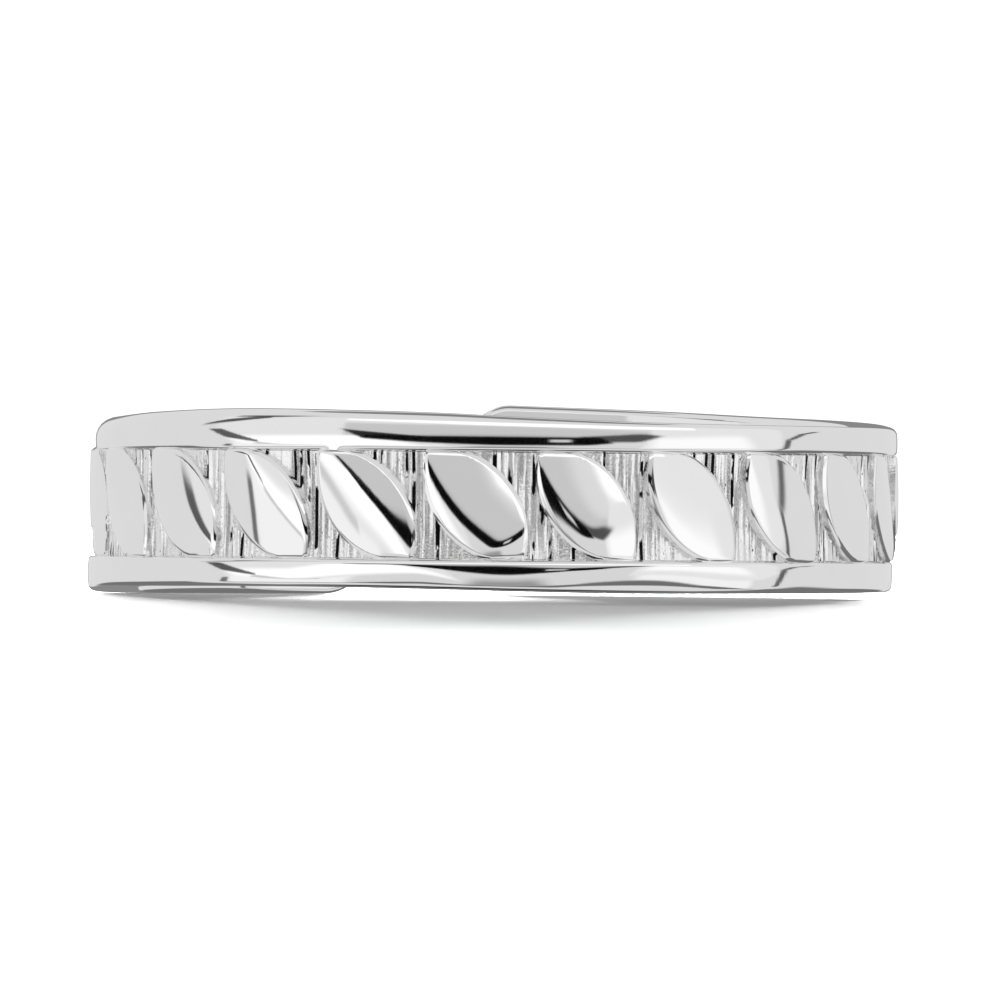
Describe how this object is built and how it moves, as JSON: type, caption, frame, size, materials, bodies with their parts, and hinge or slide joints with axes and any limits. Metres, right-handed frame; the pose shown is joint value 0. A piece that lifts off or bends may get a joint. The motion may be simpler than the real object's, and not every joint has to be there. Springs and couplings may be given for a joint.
{
  "type": "open toe ring",
  "caption": "Open adjustable toe ring: a polished white metal band with rounded edge rails and a row of raised slanted leaves in a lined channel, split at the back.",
  "frame": {"origin": "centre of the toe bore, on the ring's axis at the middle of its round inner face", "axes": "+Z along the ring's axis, with the ring lying on its side; -Y through the middle of the decorated front, so the gap between the tails is at +Y; +X to the right seen from the front"},
  "size_m": [0.0169, 0.0167, 0.004],
  "materials": {
    "silver": "polished sterling silver, mirror bright on the rails and leaves, finely lined in the channel"
  },
  "bodies": {
    "root": {"band": "silver"}
  },
  "joints": []
}
